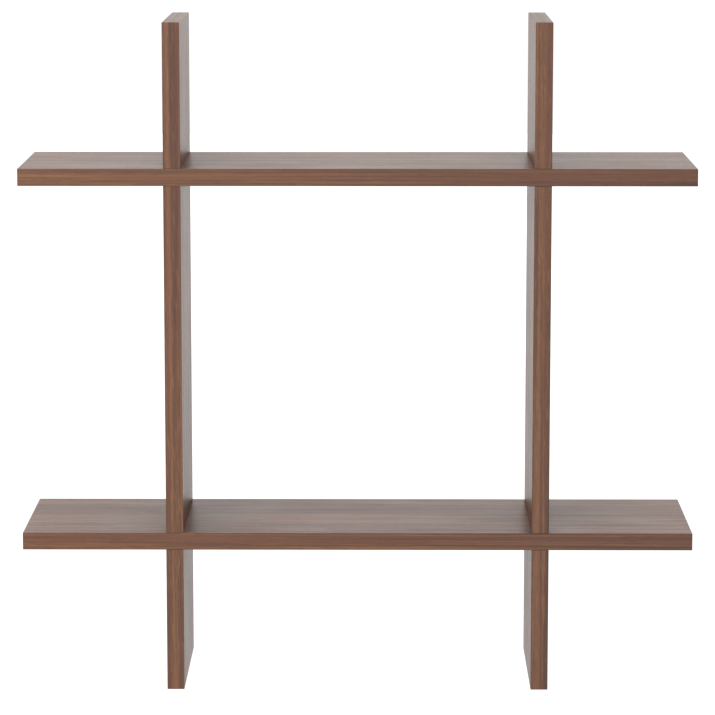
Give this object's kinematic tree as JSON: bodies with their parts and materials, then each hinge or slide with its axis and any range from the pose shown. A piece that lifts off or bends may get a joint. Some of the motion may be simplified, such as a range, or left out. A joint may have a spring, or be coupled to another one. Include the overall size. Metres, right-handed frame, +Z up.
{
  "type": "wall shelf",
  "caption": "Hash-shaped wall shelf of shelves and uprights in walnut-faced board, cross-halved together and hung on flush keyhole brackets.",
  "frame": {"origin": "on the wall's face, at the centre of the four keyhole brackets' entry holes, which is also the middle of the width and height", "axes": "+X to the right, +Y into the wall, +Z up"},
  "size_m": [0.7, 0.18, 0.7],
  "materials": {
    "walnut_along_x": "satin walnut, grain along X",
    "walnut_along_y": "satin walnut, grain along Y",
    "walnut_along_z": "satin walnut, grain along Z",
    "particle_board": "raw pressed chips",
    "plated_bracket": "bright zinc plate, pressed",
    "plated_screw": "yellow zinc plate"
  },
  "bodies": {
    "root": {"upper_shelf_core": "particle_board", "upper_shelf_top_face": "walnut_along_x", "upper_shelf_bottom_face": "walnut_along_x", "upper_shelf_front_band": "walnut_along_x", "upper_shelf_rear_bands": "walnut_along_x", "upper_shelf_left_end_band": "walnut_along_y", "upper_shelf_right_end_band": "walnut_along_y", "lower_shelf_core": "particle_board", "lower_shelf_top_face": "walnut_along_x", "lower_shelf_bottom_face": "walnut_along_x", "lower_shelf_front_band": "walnut_along_x", "lower_shelf_rear_bands": "walnut_along_x", "lower_shelf_left_end_band": "walnut_along_y", "lower_shelf_right_end_band": "walnut_along_y", "left_upright_core": "particle_board", "left_upright_outer_face": "walnut_along_z", "left_upright_inner_face": "walnut_along_z", "left_upright_front_bands": "walnut_along_z", "left_upright_rear_band": "walnut_along_z", "left_upright_top_end_band": "walnut_along_y", "left_upright_bottom_end_band": "walnut_along_y", "right_upright_core": "particle_board", "right_upright_outer_face": "walnut_along_z", "right_upright_inner_face": "walnut_along_z", "right_upright_front_bands": "walnut_along_z", "right_upright_rear_band": "walnut_along_z", "right_upright_top_end_band": "walnut_along_y", "right_upright_bottom_end_band": "walnut_along_y", "upper_left_keyhole_bracket": "plated_bracket", "upper_left_bracket_screws": "plated_screw", "upper_right_keyhole_bracket": "plated_bracket", "upper_right_bracket_screws": "plated_screw", "lower_left_keyhole_bracket": "plated_bracket", "lower_left_bracket_screws": "plated_screw", "lower_right_keyhole_bracket": "plated_bracket", "lower_right_bracket_screws": "plated_screw"}
  },
  "joints": []
}
